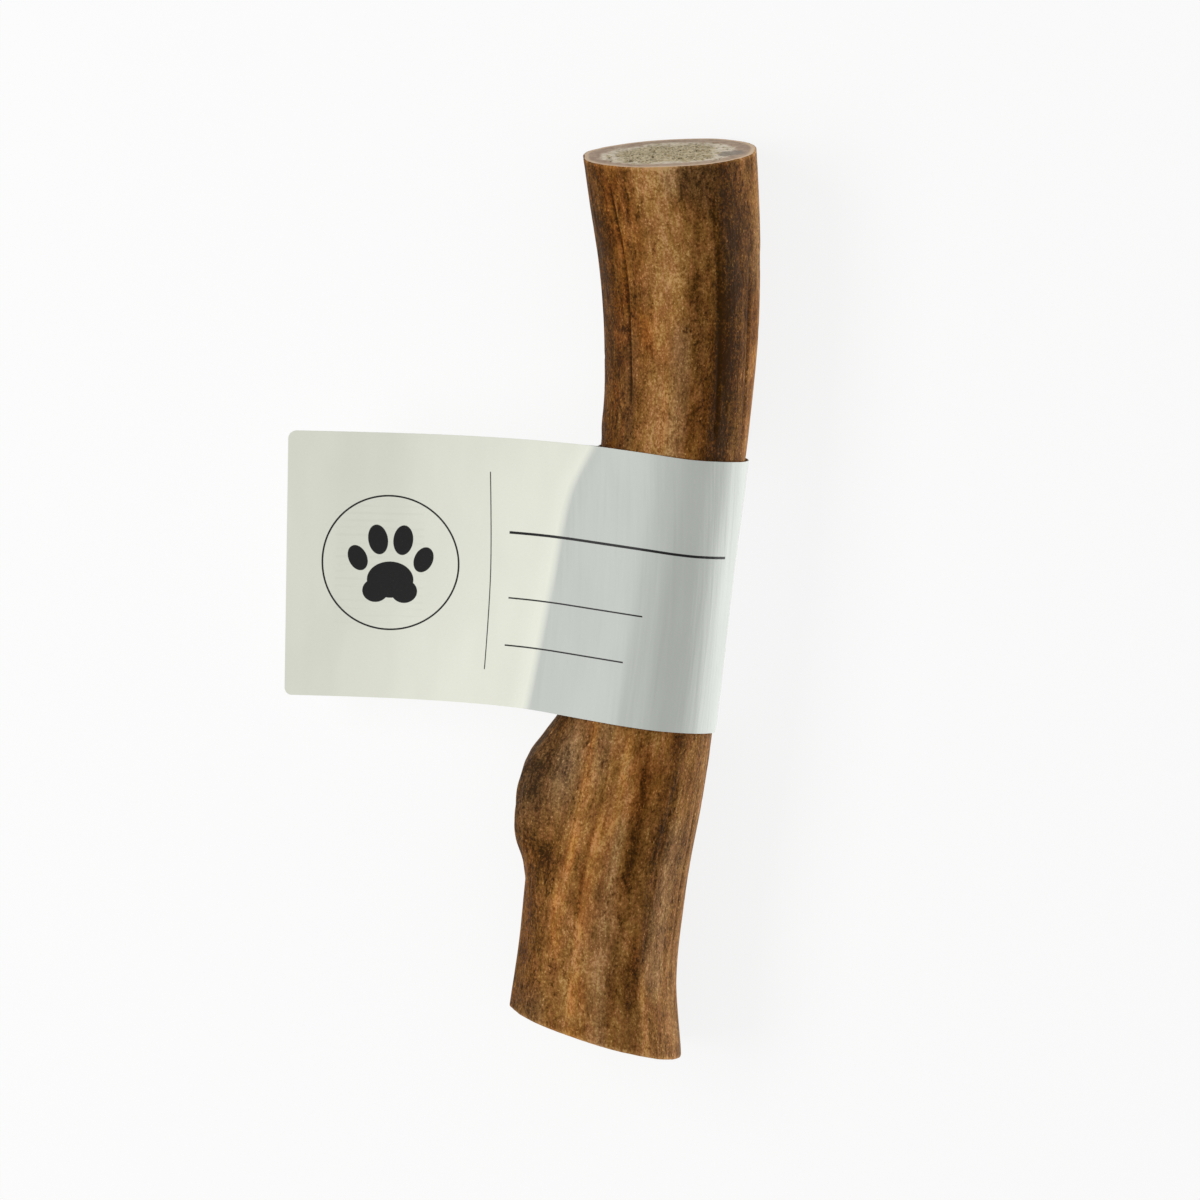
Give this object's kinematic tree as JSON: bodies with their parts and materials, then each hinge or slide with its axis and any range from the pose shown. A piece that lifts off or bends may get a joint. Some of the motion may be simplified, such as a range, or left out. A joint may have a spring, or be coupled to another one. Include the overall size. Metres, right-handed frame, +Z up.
{
  "type": "reindeer antler piece with paper label",
  "caption": "Length of reindeer antler beam, sawn at both ends, with a tine stub and a plain paper label wrapped round it as a flag.",
  "frame": {"origin": "on the surface that the antler lies on, under the middle of the whole object with its label", "axes": "+Y along the antler towards its squarely sawn end, +X away from the label's flag, +Z up from the surface, out of the antler's front"},
  "size_m": [0.0794, 0.1533, 0.0256],
  "materials": {
    "antler": "brown grown antler, streaked along its length, satin; sawn ends greyish tan",
    "paper": "smooth off-white label paper, slightly glossy"
  },
  "bodies": {
    "root": {"antler": "antler", "label": "paper"}
  },
  "joints": []
}
